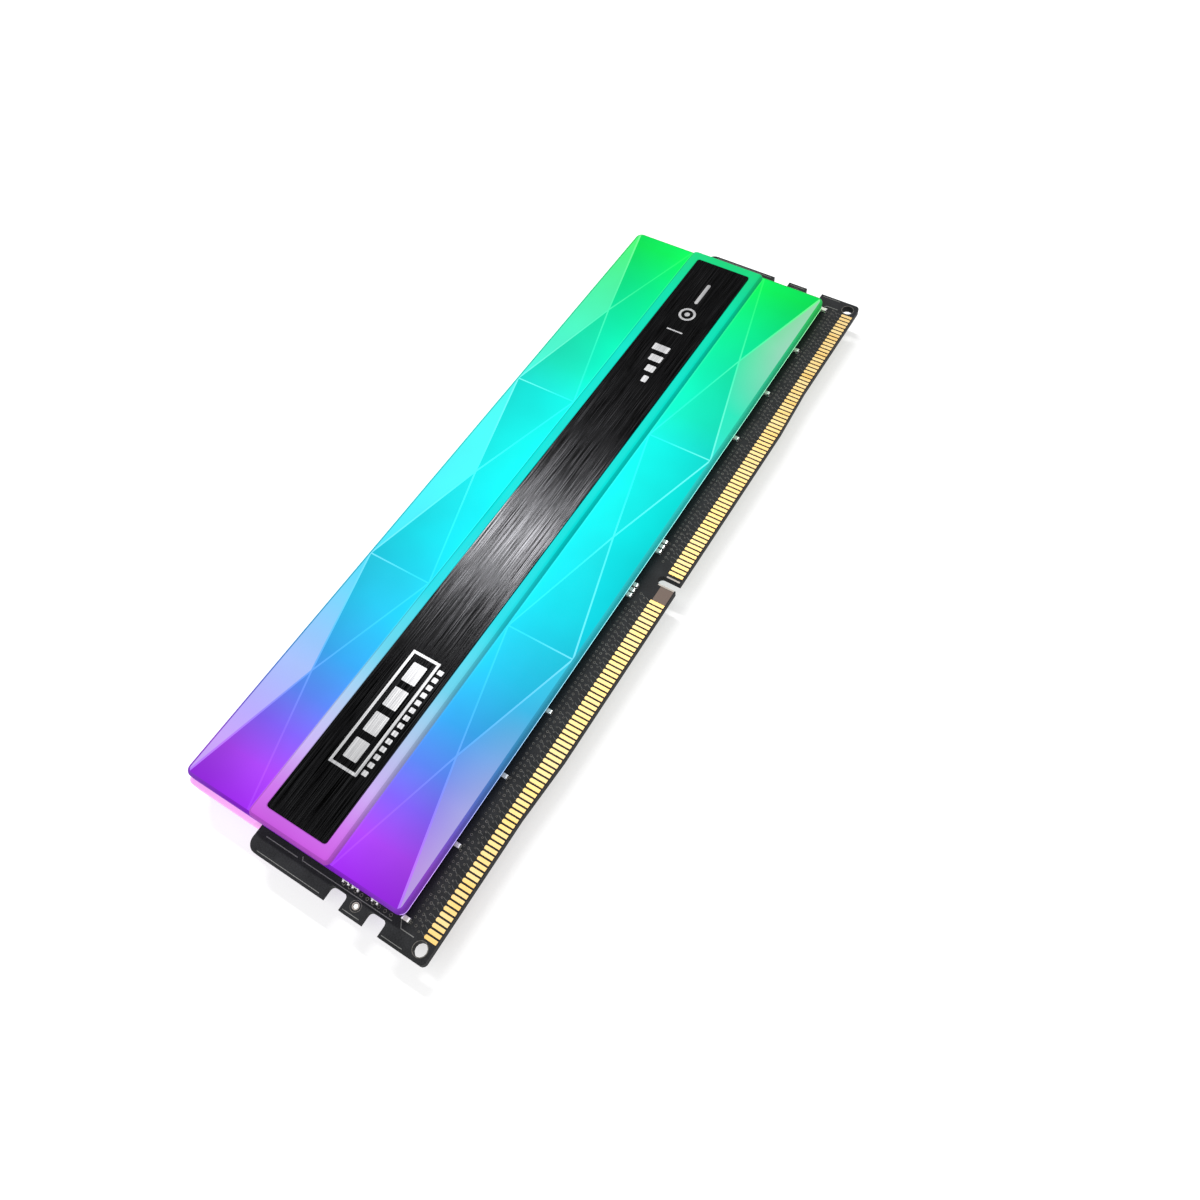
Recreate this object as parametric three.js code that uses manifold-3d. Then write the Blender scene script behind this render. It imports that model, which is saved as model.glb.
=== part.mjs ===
// Desktop memory module (DDR5 size) with lit light guides on both faces.
// Millimetres. The module lies on its back: X runs along the contact edge, +Y from the contact edge to the
// top edge, +Z out of the front face. The origin is at the middle of the underside.
import * as THREE from 'three';
import { mergeVertices } from 'three/addons/utils/BufferGeometryUtils.js';
import Module from 'manifold-3d';

const wasm = await Module();
wasm.setup();

// ---- driving dimensions ----
// Heights are measured up from the contact edge, levels out from the board's middle plane.
const BOARD = { length: 133.35, height: 31.25, thickness: 1.27, topRadius: 1.7, lowRadius: 0.75 };
const EDGE_STEP = { rise: 0.5, flatTo: 34, riseBy: 44 };  // the ends of the contact edge stand back a little
const NOTCH = { depth: 2.2, width: 3, lows: [8, 14.6], radius: 0.75 };
const CORNER_HOLE = { x: 65, y: 2.15, radius: 1 };
const TAB_HOLE = { x: 65.05, y: 12.85, radius: 0.35 };
const KEY = { x: -1.4, width: 1.5, height: 3.5 };

const CONTACT = { pitch: 0.85, width: 0.6, margin: 0.15, top: 2.65, tie: 0.15, thickness: 0.05 };
const FIRST_CONTACT_X = -63.325;
const CONTACTS_LEFT = 69;
const CONTACTS_RIGHT = 75;
const KEY_PITCHES = 7;

const SOLDER_GAP = 0.05;
const DRAM = { width: 7.5, height: 11, thickness: 0.9, y: 14.5, firstX: 23.1, pitch: 11.37, perSide: 4 };
const POWER_CHIP = { size: 5, thickness: 0.8, y: 20 };
const INDUCTOR = { width: 4, height: 4, thickness: 1, places: [[-9, 20], [9, 20], [0, 12.5]] };
const SPD_HUB = { width: 3, height: 2, thickness: 0.6, x: 13.5, y: 11 };
const LED_CONTROLLER = { size: 4, thickness: 0.75, y: 20 };
const LED = { width: 3, height: 1.5, thickness: 1, y: 30, pitch: 25, perFace: 5 };
const CHIP_PART = { length: 1.2, width: 0.7, thickness: 0.45 };
const EDGE_CAPACITOR = { y: 6, firstX: 28.8, pitch: 11.35, perSide: 4 };
const MIDDLE_RESISTOR = { y: 6.02, xs: [-6.25, -5.3, -4.3, 2.83, 3.82, 4.8] };
const END_RESISTOR = { x: -62.9, ys: [11, 14.3, 15.95] };

const THERMAL_PAD = { width: 42.6, height: 12, x: 40.15 };
const POWER_PAD_SIZE = 6;
const BACK_PAD = { width: 48, height: 15, x: 36, y: 15 };
const SPREADER = { length: 123.8, low: 7.4, high: 31.45, inner: 1.85, thickness: 0.45, radius: 1 };

// Light guide: a tray with a plateau along its middle and a band of faceted cells on each side of it.
const GUIDE = { length: 126.3, low: 6.15, high: 44.95, inner: 1.5, ceiling: 2.35, rim: 3.2, wall: 1, radius: 1.2 };
const GUIDE_EDGE = { inset: 0.45, rise: 0.45 };
const PLATEAU = { halfWidth: 7.3, top: 3.9, inset: 0.6, rise: 0.7, radius: 0.8 };
const FACET = { peak: 3.95, cells: 3 };
const CORE = { length: 127.6, low: 31.6, high: 44.7, halfThickness: 1.45, radius: 1 };
const TRIM = { length: 122, low: 20.25, high: 30.85, inner: 3.62, outer: 4, radius: 0.5, clearance: 0.1 };
const TRIM_RECESS_FLOOR = 3.58;

// ---- derived sizes ----
const boardFace = BOARD.thickness / 2;
const halfLength = BOARD.length / 2;
const chipFoot = boardFace + SOLDER_GAP;
const firstRightX = FIRST_CONTACT_X + (CONTACTS_LEFT - 1 + KEY_PITCHES) * CONTACT.pitch;
const guideHalf = GUIDE.length / 2;
const guideMiddle = (GUIDE.low + GUIDE.high) / 2;

// ---- materials ----
function material(color, roughness, metalness) {
  return new THREE.MeshStandardMaterial({ color, roughness, metalness });
}
const BOARD_BLACK = material(0x26272a, 0.45, 0);
const GOLD = material(0xe0b565, 0.3, 1);
const CHIP_BLACK = material(0x1b1c1e, 0.6, 0);
const INDUCTOR_GREY = material(0x4a4a4e, 0.55, 0.2);
const CERAMIC_TAN = material(0xc9c2b4, 0.5, 0);
const LED_WHITE = material(0xf6f6ee, 0.3, 0);
const PAD_GREY = material(0x8d959c, 0.9, 0);
const ALUMINIUM = material(0xb4b8bc, 0.4, 1);
const GUIDE_TEAL = material(0x19d8dc, 0.25, 0);
const CORE_PINK = material(0xf2a6f5, 0.3, 0);
const TRIM_BLACK = material(0x111214, 0.35, 0.9);

// ---- shape helpers ----
function roundedRectangle(x0, x1, y0, y1, radius) {
  const shape = new THREE.Shape();
  shape.absarc(x1 - radius, y0 + radius, radius, -Math.PI / 2, 0);
  shape.absarc(x1 - radius, y1 - radius, radius, 0, Math.PI / 2);
  shape.absarc(x0 + radius, y1 - radius, radius, Math.PI / 2, Math.PI);
  shape.absarc(x0 + radius, y0 + radius, radius, Math.PI, Math.PI * 1.5);
  return shape;
}

function extrude(shape, z0, z1, curveSegments = 4) {
  const geometry = new THREE.ExtrudeGeometry(shape, { depth: z1 - z0, bevelEnabled: false, curveSegments });
  return geometry.translate(0, 0, z0);
}

function block(x, y, z0, width, height, thickness) {
  return new THREE.BoxGeometry(width, height, thickness).translate(x, y, z0 + thickness / 2);
}

function solid(geometry) {
  const bare = geometry.index ? geometry.clone() : geometry;
  bare.deleteAttribute('normal');
  bare.deleteAttribute('uv');
  const merged = mergeVertices(bare);
  const mesh = new wasm.Mesh({
    numProp: 3,
    vertProperties: new Float32Array(merged.attributes.position.array),
    triVerts: new Uint32Array(merged.index.array),
  });
  return new wasm.Manifold(mesh);
}

function geometryOf(manifold) {
  const mesh = manifold.getMesh();
  const geometry = new THREE.BufferGeometry();
  geometry.setAttribute('position', new THREE.BufferAttribute(mesh.vertProperties, 3));
  geometry.setIndex(new THREE.BufferAttribute(mesh.triVerts, 1));
  geometry.computeVertexNormals();
  return geometry;
}

// ---- scene graph: everything in front of the board, and the same turned over behind it ----
const module = new THREE.Group();
const front = new THREE.Group();
const back = new THREE.Group();
back.rotation.y = Math.PI;
module.add(front, back);

function addPart(group, name, geometry, partMaterial) {
  const mesh = new THREE.Mesh(geometry, partMaterial);
  mesh.name = name;
  group.add(mesh);
}

// ---- circuit board ----
// Height of the contact edge at x: level in the middle, a slope, and level again at the ends.
function contactEdge(x) {
  const along = (Math.abs(x) - EDGE_STEP.flatTo) / (EDGE_STEP.riseBy - EDGE_STEP.flatTo);
  return EDGE_STEP.rise * THREE.MathUtils.clamp(along, 0, 1);
}

// One end of the board from its lower corner up to its top corner, or down on the other end.
function boardEnd(shape, side) {
  const endX = side * halfLength;
  const innerX = side * (halfLength - NOTCH.depth);
  const cornerX = side * NOTCH.radius;
  const lows = side > 0 ? NOTCH.lows : [...NOTCH.lows].reverse();
  for (const low of lows) {
    const [enter, leave] = side > 0 ? [low, low + NOTCH.width] : [low + NOTCH.width, low];
    const turn = Math.sign(leave - enter) * NOTCH.radius;
    shape.lineTo(endX, enter);
    shape.lineTo(innerX + cornerX, enter);
    shape.quadraticCurveTo(innerX, enter, innerX, enter + turn);
    shape.lineTo(innerX, leave - turn);
    shape.quadraticCurveTo(innerX, leave, innerX + cornerX, leave);
    shape.lineTo(endX, leave);
  }
}

function boardOutline() {
  const low = EDGE_STEP.rise;
  const top = BOARD.height;
  const shape = new THREE.Shape();
  shape.moveTo(-halfLength + BOARD.lowRadius, low);
  shape.lineTo(-EDGE_STEP.riseBy, low);
  shape.lineTo(-EDGE_STEP.flatTo, 0);
  shape.lineTo(KEY.x - KEY.width / 2, 0);
  shape.absarc(KEY.x, KEY.height - KEY.width / 2, KEY.width / 2, Math.PI, 0, true);
  shape.lineTo(KEY.x + KEY.width / 2, 0);
  shape.lineTo(EDGE_STEP.flatTo, 0);
  shape.lineTo(EDGE_STEP.riseBy, low);
  shape.absarc(halfLength - BOARD.lowRadius, low + BOARD.lowRadius, BOARD.lowRadius, -Math.PI / 2, 0);
  boardEnd(shape, 1);
  shape.absarc(halfLength - BOARD.topRadius, top - BOARD.topRadius, BOARD.topRadius, 0, Math.PI / 2);
  shape.absarc(-halfLength + BOARD.topRadius, top - BOARD.topRadius, BOARD.topRadius, Math.PI / 2, Math.PI);
  boardEnd(shape, -1);
  shape.absarc(-halfLength + BOARD.lowRadius, low + BOARD.lowRadius, BOARD.lowRadius, Math.PI, Math.PI * 1.5);
  return shape;
}

function addBoard() {
  const outline = boardOutline();
  for (const side of [-1, 1]) {
    for (const { x, y, radius } of [CORNER_HOLE, TAB_HOLE]) {
      outline.holes.push(new THREE.Path().absarc(side * x, y, radius, 0, Math.PI * 2, true));
    }
  }
  addPart(module, 'circuit_board', extrude(outline, -boardFace, boardFace, 6), BOARD_BLACK);
}

// ---- contact rows: each row is one comb, its teeth joined along the edge by the plating bar ----
function contactComb(firstX, count) {
  const half = CONTACT.width / 2;
  const lastX = firstX + (count - 1) * CONTACT.pitch;
  const low = (x) => contactEdge(x) + CONTACT.margin;
  const kinks = [-EDGE_STEP.riseBy, -EDGE_STEP.flatTo, EDGE_STEP.flatTo, EDGE_STEP.riseBy];
  const shape = new THREE.Shape();
  shape.moveTo(firstX - half, low(firstX - half));
  for (const x of kinks.filter((kink) => kink > firstX && kink < lastX)) {
    shape.lineTo(x, low(x));
  }
  shape.lineTo(lastX + half, low(lastX + half));
  for (let i = count - 1; i >= 0; i -= 1) {
    const x = firstX + i * CONTACT.pitch;
    if (i < count - 1) {
      shape.lineTo(x + half, low(x + half) + CONTACT.tie);
    }
    shape.lineTo(x + half, CONTACT.top);
    shape.lineTo(x - half, CONTACT.top);
    if (i > 0) {
      shape.lineTo(x - half, low(x - half) + CONTACT.tie);
    }
  }
  return shape;
}

function addContacts() {
  const rows = { left: [FIRST_CONTACT_X, CONTACTS_LEFT], right: [firstRightX, CONTACTS_RIGHT] };
  for (const [side, [firstX, count]] of Object.entries(rows)) {
    const comb = contactComb(firstX, count);
    const outer = boardFace + CONTACT.thickness;
    addPart(module, `contacts_front_${side}`, extrude(comb, boardFace, outer), GOLD);
    addPart(module, `contacts_back_${side}`, extrude(comb, -outer, -boardFace), GOLD);
  }
}

// ---- chips and small parts soldered to the board ----
function mirroredPlaces(firstX, pitch, perSide) {
  const right = Array.from({ length: perSide }, (_, i) => firstX + i * pitch);
  return [...right.map((x) => -x).reverse(), ...right];
}

function addChips() {
  mirroredPlaces(DRAM.firstX, DRAM.pitch, DRAM.perSide).forEach((x, i) => {
    const chip = block(x, DRAM.y, chipFoot, DRAM.width, DRAM.height, DRAM.thickness);
    addPart(front, `dram_chip_${i + 1}`, chip, CHIP_BLACK);
  });
  const power = block(0, POWER_CHIP.y, chipFoot, POWER_CHIP.size, POWER_CHIP.size, POWER_CHIP.thickness);
  addPart(front, 'power_management_chip', power, CHIP_BLACK);
  INDUCTOR.places.forEach(([x, y], i) => {
    const coil = block(x, y, chipFoot, INDUCTOR.width, INDUCTOR.height, INDUCTOR.thickness);
    addPart(front, `power_inductor_${i + 1}`, coil, INDUCTOR_GREY);
  });
  const hub = block(SPD_HUB.x, SPD_HUB.y, chipFoot, SPD_HUB.width, SPD_HUB.height, SPD_HUB.thickness);
  addPart(front, 'spd_hub_chip', hub, CHIP_BLACK);
  const { size, thickness, y } = LED_CONTROLLER;
  addPart(back, 'led_controller_chip', block(0, y, chipFoot, size, size, thickness), CHIP_BLACK);
}

function addLeds() {
  for (let i = 0; i < LED.perFace; i += 1) {
    const x = (i - (LED.perFace - 1) / 2) * LED.pitch;
    for (const [group, face] of [[front, 'front'], [back, 'back']]) {
      const led = block(x, LED.y, chipFoot, LED.width, LED.height, LED.thickness);
      addPart(group, `rgb_led_${face}_${i + 1}`, led, LED_WHITE);
    }
  }
}

function addSmallParts() {
  const { length, width, thickness } = CHIP_PART;
  mirroredPlaces(EDGE_CAPACITOR.firstX, EDGE_CAPACITOR.pitch, EDGE_CAPACITOR.perSide).forEach((x, i) => {
    const capacitor = block(x, EDGE_CAPACITOR.y, chipFoot, width, length, thickness);
    addPart(front, `edge_capacitor_${i + 1}`, capacitor, CERAMIC_TAN);
  });
  MIDDLE_RESISTOR.xs.forEach((x, i) => {
    const resistor = block(x, MIDDLE_RESISTOR.y, chipFoot, width, length, thickness);
    addPart(front, `middle_resistor_${i + 1}`, resistor, CERAMIC_TAN);
  });
  END_RESISTOR.ys.forEach((y, i) => {
    const resistor = block(END_RESISTOR.x, y, chipFoot, width, length, thickness);
    addPart(front, `end_resistor_${i + 1}`, resistor, CERAMIC_TAN);
  });
}

// ---- thermal pads and heat spreaders ----
function addThermalPads() {
  const dramTop = chipFoot + DRAM.thickness;
  const powerTop = chipFoot + POWER_CHIP.thickness;
  for (const [side, name] of [[-1, 'left'], [1, 'right']]) {
    const { width, height, x } = THERMAL_PAD;
    const pad = block(side * x, DRAM.y, dramTop, width, height, SPREADER.inner - dramTop);
    addPart(front, `thermal_pad_front_${name}`, pad, PAD_GREY);
    const thickness = SPREADER.inner - boardFace;
    const backPad = block(side * BACK_PAD.x, BACK_PAD.y, boardFace, BACK_PAD.width, BACK_PAD.height, thickness);
    addPart(back, `thermal_pad_back_${name}`, backPad, PAD_GREY);
  }
  const powerPad = block(0, POWER_CHIP.y, powerTop, POWER_PAD_SIZE, POWER_PAD_SIZE, SPREADER.inner - powerTop);
  addPart(front, 'thermal_pad_power', powerPad, PAD_GREY);
}

function spreaderGeometry() {
  const half = SPREADER.length / 2;
  const outline = roundedRectangle(-half, half, SPREADER.low, SPREADER.high, SPREADER.radius);
  return extrude(outline, SPREADER.inner, SPREADER.inner + SPREADER.thickness);
}

// ---- light guides and the light core between them ----
// A slab from z0 to z1 whose top and bottom edges are rounded over, by inset sideways and by rise in height.
function roundedSlab(outline, z0, z1, { inset, rise }) {
  const geometry = new THREE.ExtrudeGeometry(outline, {
    depth: z1 - z0 - 2 * rise,
    bevelSize: inset,
    bevelOffset: -inset,
    bevelThickness: rise,
    bevelSegments: 3,
    curveSegments: 4,
  });
  return solid(geometry.translate(0, 0, z0 + rise));
}

// A block with a low four-sided pyramid on top.
function facetedCell(x0, x1, y0, y1) {
  const corners = [[x0, y0], [x1, y0], [x1, y1], [x0, y1]];
  const points = [
    ...corners.map(([x, y]) => [x, y, GUIDE.ceiling]),
    ...corners.map(([x, y]) => [x, y, GUIDE.rim]),
    [(x0 + x1) / 2, (y0 + y1) / 2, FACET.peak],
  ];
  const faces = [0, 2, 1, 0, 3, 2];
  for (let i = 0; i < corners.length; i += 1) {
    const next = (i + 1) % corners.length;
    faces.push(i, next, next + 4, i, next + 4, i + 4);
    faces.push(i + 4, next + 4, points.length - 1);
  }
  const geometry = new THREE.BufferGeometry();
  geometry.setAttribute('position', new THREE.Float32BufferAttribute(points.flat(), 3));
  geometry.setIndex(faces);
  return solid(geometry);
}

function facetedBand(y0, y1) {
  const firstX = -guideHalf + GUIDE_EDGE.inset;
  const cellLength = -2 * firstX / FACET.cells;
  const cells = Array.from({ length: FACET.cells }, (_, i) => {
    return facetedCell(firstX + i * cellLength, firstX + (i + 1) * cellLength, y0, y1);
  });
  return cells.reduce((band, cell) => band.add(cell));
}

function trimOutline(clearance) {
  const half = TRIM.length / 2 + clearance;
  return roundedRectangle(-half, half, TRIM.low - clearance, TRIM.high + clearance, TRIM.radius);
}

function guideGeometry() {
  const { low, high, inner, ceiling, rim, wall, radius } = GUIDE;
  const outline = roundedRectangle(-guideHalf, guideHalf, low, high, radius);
  const tray = roundedSlab(outline, inner - GUIDE_EDGE.rise, rim, GUIDE_EDGE);
  const plateauLow = guideMiddle - PLATEAU.halfWidth;
  const plateauHigh = guideMiddle + PLATEAU.halfWidth;
  const plateauOutline = roundedRectangle(-guideHalf, guideHalf, plateauLow, plateauHigh, PLATEAU.radius);
  const plateau = roundedSlab(plateauOutline, ceiling, PLATEAU.top, PLATEAU);
  const inside = guideHalf - wall;
  const pocket = roundedRectangle(-inside, inside, low + wall, high - wall, SPREADER.radius);
  const below = block(0, guideMiddle, 0, GUIDE.length + wall, high - low + wall, inner);
  const guide = tray
    .add(plateau)
    .add(facetedBand(low + GUIDE_EDGE.inset, plateauLow))
    .add(facetedBand(plateauHigh, high - GUIDE_EDGE.inset))
    .subtract(solid(extrude(pocket, 0, ceiling)))
    .subtract(solid(extrude(trimOutline(TRIM.clearance), TRIM_RECESS_FLOOR, TRIM.outer + wall)))
    .subtract(solid(below));
  return geometryOf(guide);
}

function coreGeometry() {
  const half = CORE.length / 2;
  const outline = roundedRectangle(-half, half, CORE.low, CORE.high, CORE.radius);
  return extrude(outline, -CORE.halfThickness, CORE.halfThickness);
}

function addCovers() {
  for (const [group, face] of [[front, 'front'], [back, 'back']]) {
    addPart(group, `heat_spreader_${face}`, spreaderGeometry(), ALUMINIUM);
    addPart(group, `light_guide_${face}`, guideGeometry(), GUIDE_TEAL);
    addPart(group, `trim_strip_${face}`, extrude(trimOutline(0), TRIM.inner, TRIM.outer), TRIM_BLACK);
  }
  addPart(module, 'light_core', coreGeometry(), CORE_PINK);
}

addBoard();
addContacts();
addChips();
addLeds();
addSmallParts();
addThermalPads();
addCovers();

// The module lies on its back trim strip, and the contact edge faces -Y.
module.position.set(0, -GUIDE.high / 2, TRIM.outer);

export default module;
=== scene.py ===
"""A desktop memory module with lit light guides on both faces, lying on its back on a pale floor.

Shapes are built in millimetres in the module's own frame, and add_piece() turns them into metres in the
shared frame. X runs along the contact edge, Y from the contact edge to the top edge, and Z out of the front
face, from the middle of the board's thickness. The covers on the back are the front ones turned over about
the Y axis. The board's own details are mirrored in Z, because the key slot and the contacts stand at the
same X on both faces.
"""

import math

import bmesh
import bpy
from mathutils import Euler, Matrix, Vector, noise


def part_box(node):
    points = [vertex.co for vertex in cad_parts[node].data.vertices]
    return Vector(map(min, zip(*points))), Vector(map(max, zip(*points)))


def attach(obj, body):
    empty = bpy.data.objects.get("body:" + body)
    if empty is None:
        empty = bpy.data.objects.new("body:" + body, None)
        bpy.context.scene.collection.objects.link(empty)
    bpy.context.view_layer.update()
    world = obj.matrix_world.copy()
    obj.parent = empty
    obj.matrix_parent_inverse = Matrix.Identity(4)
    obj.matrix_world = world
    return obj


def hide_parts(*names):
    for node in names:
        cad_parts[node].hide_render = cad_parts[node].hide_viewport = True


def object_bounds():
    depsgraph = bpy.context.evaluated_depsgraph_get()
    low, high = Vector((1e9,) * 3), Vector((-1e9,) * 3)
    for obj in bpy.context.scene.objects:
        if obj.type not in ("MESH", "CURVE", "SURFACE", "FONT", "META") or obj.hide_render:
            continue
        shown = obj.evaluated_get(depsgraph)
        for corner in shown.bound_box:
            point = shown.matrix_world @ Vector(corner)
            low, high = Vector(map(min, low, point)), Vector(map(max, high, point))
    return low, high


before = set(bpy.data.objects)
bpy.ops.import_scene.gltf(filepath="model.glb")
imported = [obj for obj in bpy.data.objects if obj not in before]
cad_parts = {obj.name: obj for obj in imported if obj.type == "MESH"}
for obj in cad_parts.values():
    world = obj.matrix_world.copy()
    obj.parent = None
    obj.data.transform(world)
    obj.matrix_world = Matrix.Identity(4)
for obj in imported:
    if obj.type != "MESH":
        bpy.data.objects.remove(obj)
cad_low, cad_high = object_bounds()

MM = 0.001
FACES = ("front", "back")
SIDES = ("left", "right")
ENDS = (-1, 1)

# ---- places taken from the frame ----
board_low, board_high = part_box("circuit_board")
ORIGIN = Vector((0, board_low.y, (board_low.z + board_high.z) / 2))
TO_METRES = Matrix.Translation(ORIGIN) @ Matrix.Scale(MM, 4)
TURNED = {"front": Matrix.Identity(4), "back": Matrix.Rotation(math.pi, 4, "Y")}
MIRRORED = {"front": Matrix.Identity(4), "back": Matrix.Scale(-1, 4, (0, 0, 1))}


def box_mm(node):
    """The lowest and highest corners of a CAD node in millimetres in the module's own frame."""
    low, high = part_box(node)
    return (low - ORIGIN) / MM, (high - ORIGIN) / MM


GUIDE_LOW, GUIDE_HIGH = box_mm("light_guide_front")
TRIM_LOW, TRIM_HIGH = box_mm("trim_strip_front")
CORE_LOW, CORE_HIGH = box_mm("light_core")
SPREADER_LOW, SPREADER_HIGH = box_mm("heat_spreader_front")
GUIDE_MIDDLE = (GUIDE_LOW.y + GUIDE_HIGH.y) / 2
FACE = box_mm("circuit_board")[1].z

# ---- light guides: sizes of what the frame holds only roughly ----
CORNER_STEPS = 6
# rim: height of the facets' lower ends. edge: rounding below them. foot: chamfer at the bottom. glow: height
# of the band above it with a painted highlight. wall: thickness of the side. ceiling: height of the pocket's
# roof.
GUIDE = {"radius": 1.2, "rim": 3.2, "edge": 0.45, "foot": 0.1, "glow": 0.22, "wall": 1.0, "ceiling": 2.35}
PLATEAU = {"half": 7.3, "top": 3.9, "inset": 0.9, "radius": 0.95, "foot": 2.7, "groove": 0.22}
RECESS = {"clearance": 0.1, "radius": 0.5, "floor": 3.58, "chamfer": 0.05}
CELLS = 3
CREASE = 0.26
VALLEY = 0.24
RIM_HALF = GUIDE_HIGH.x - GUIDE["edge"]
RIM_LOW, RIM_HIGH = GUIDE_LOW.y + GUIDE["edge"], GUIDE_HIGH.y - GUIDE["edge"]


# ---- node helpers ----
def srgb(code):
    """Linear RGBA of a colour written as six hexadecimal digits."""
    channels = [int(code[i:i + 2], 16) / 255 for i in (0, 2, 4)]
    return [c / 12.92 if c <= 0.04045 else ((c + 0.055) / 1.055) ** 2.4 for c in channels] + [1]


class Graph:
    """A new material's node tree, with short calls for the nodes used here."""

    def __init__(self, name, **values):
        self.material = bpy.data.materials.new(name)
        self.material.use_nodes = True
        self.tree = self.material.node_tree
        self.shader = self.tree.nodes["Principled BSDF"]
        for socket, value in values.items():
            self.shader.inputs[socket.replace("_", " ")].default_value = value

    def add(self, kind, inputs=None, **settings):
        node = self.tree.nodes.new(kind)
        for key, value in settings.items():
            setattr(node, key, value)
        for key, value in (inputs or {}).items():
            self.put(value, node.inputs[key])
        return node

    def put(self, value, socket):
        if isinstance(value, bpy.types.NodeSocket):
            self.tree.links.new(value, socket)
        else:
            socket.default_value = value

    def math(self, operation, a, b=0.0):
        return self.add("ShaderNodeMath", {0: a, 1: b}, operation=operation).outputs[0]

    def spread(self, value, low, high, to_low=0.0, to_high=1.0):
        """The value moved from the range low..high to to_low..to_high, and held at its ends."""
        inputs = {0: value, 1: low, 2: high, 3: to_low, 4: to_high}
        return self.add("ShaderNodeMapRange", inputs).outputs[0]

    def blend(self, factor, a, b, kind="MIX"):
        node = self.add("ShaderNodeMix", data_type="RGBA", blend_type=kind)
        for value, index in ((factor, 0), (a, 6), (b, 7)):
            self.put(value, node.inputs[index])
        return node.outputs[2]

    def ramp(self, value, stops):
        node = self.add("ShaderNodeValToRGB", {0: value})
        elements = node.color_ramp.elements
        for i, (place, colour) in enumerate(stops):
            element = elements[i] if i < 2 else elements.new(place)
            element.position = place
            element.color = colour
        return node.outputs[0]

    def place(self):
        """Object coordinates, which are metres in the shared frame."""
        return self.add("ShaderNodeTexCoord").outputs["Object"]

    def axis(self, name):
        return self.add("ShaderNodeSeparateXYZ", {0: self.place()}).outputs[name]

    def scaled(self, x, y, z):
        return self.add("ShaderNodeMapping", {"Vector": self.place(), "Scale": (x, y, z)}).outputs[0]

    def noise(self, vector, scale, detail=2.0, roughness=0.5):
        inputs = {"Vector": vector, "Scale": scale, "Detail": detail, "Roughness": roughness}
        return self.add("ShaderNodeTexNoise", inputs).outputs[0]

    def bump(self, height, strength, distance):
        inputs = {"Height": height, "Strength": strength, "Distance": distance}
        self.put(self.add("ShaderNodeBump", inputs).outputs[0], self.shader.inputs["Normal"])

    def colour(self, value):
        self.put(value, self.shader.inputs["Base Color"])

    def roughness(self, value):
        self.put(value, self.shader.inputs["Roughness"])


# ---- lit plastic: the colour of the light runs along the module ----
BAND_LIGHT = [
    (-63, "9E2AEE"), (-57, "AB46F6"), (-51, "8362F8"), (-45, "5A86F2"), (-38, "36A8F2"), (-28, "1FD0FA"),
    (-14, "06EBFA"), (4, "00F6F4"), (20, "00F8EC"), (27, "00F4CC"), (38, "00EEB0"), (50, "00EE8C"),
    (60, "04F25E"),
]
MARGIN_LIGHT = [
    (-63, "C95AE0"), (-58, "CB78E8"), (-52, "C9AEF0"), (-44, "B4C8EC"), (-34, "6CD2EC"), (-22, "28DAE6"),
    (-6, "04E0DE"), (14, "04E0D6"), (34, "04DEC4"), (52, "04E0AA"), (62, "1AD47E"),
]
CORE_LIGHT = [
    (-64, "F2A8EC"), (-56, "E8ACF8"), (-44, "A8C4FF"), (-24, "7CECFF"), (0, "80FFFC"), (24, "84FFE8"),
    (63, "7CFFA0"),
]
LIGHT_REACH = 64.0
PLASTIC_TONE = (0.34, 0.34, 0.34, 1)


def light_along(graph, stops):
    """The colour ramp of a light that changes along X, from stops given in millimetres."""
    along = graph.spread(graph.axis("X"), -LIGHT_REACH * MM, LIGHT_REACH * MM)
    places = [((x + LIGHT_REACH) / (2 * LIGHT_REACH), srgb(code)) for x, code in stops]
    return graph.ramp(along, places)


def outward(graph):
    """0 beside the plateau and 1 at the long edges of the light guide."""
    middle = ORIGIN.y + GUIDE_MIDDLE * MM
    from_middle = graph.math("ABSOLUTE", graph.math("SUBTRACT", graph.axis("Y"), middle))
    reach = (GUIDE_HIGH.y - GUIDE_MIDDLE) * MM
    return graph.spread(from_middle, PLATEAU["half"] * MM, reach)


def pale_everywhere(graph):
    return 1.0


def pale_near_left(graph):
    """Full towards the left end, and faint over the rest."""
    return graph.spread(graph.axis("X"), -42 * MM, -22 * MM, 1.0, 0.2)


def pale_near_ends(graph):
    return graph.spread(graph.math("ABSOLUTE", graph.axis("X")), 31 * MM, 48 * MM, 0.1, 1.0)


def lit_plastic(name, stops, glow=0.62, shade=(1.0, 1.0), pale=(0.0, 0.0), pale_tone="E6E4F6",
                pale_along=pale_everywhere):
    """Satin plastic lit from inside.

    shade dims the light, and pale adds a haze of pale_tone. Both are given beside the plateau and at the long
    edges. pale_along says how the haze changes along the module.
    """
    graph = Graph(name, Specular_IOR_Level=0.03, Emission_Strength=glow)
    away = outward(graph)
    light = light_along(graph, stops)
    cloud = graph.noise(graph.scaled(60, 60, 60), 1.6, 2.0, 0.45)
    unevenness = graph.spread(cloud, 0.3, 0.7, 0.95, 1.05)
    dimmed = graph.math("MULTIPLY", graph.spread(away, 0, 1, *shade), unevenness)
    grey = graph.add("ShaderNodeCombineColor", {0: dimmed, 1: dimmed, 2: dimmed}).outputs[0]
    shaded = graph.blend(1.0, light, grey, "MULTIPLY")
    haze = graph.math("MULTIPLY", graph.spread(away, 0.3, 1, *pale), pale_along(graph))
    hazed = graph.blend(haze, shaded, srgb(pale_tone))
    graph.put(hazed, graph.shader.inputs["Emission Color"])
    graph.colour(graph.blend(1.0, hazed, PLASTIC_TONE, "MULTIPLY"))
    grain = graph.noise(graph.place(), 9000, 1.0)
    graph.roughness(graph.spread(grain, 0.3, 0.7, 0.36, 0.5))
    graph.bump(grain, 0.05, 0.00002)
    return graph.material


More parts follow.
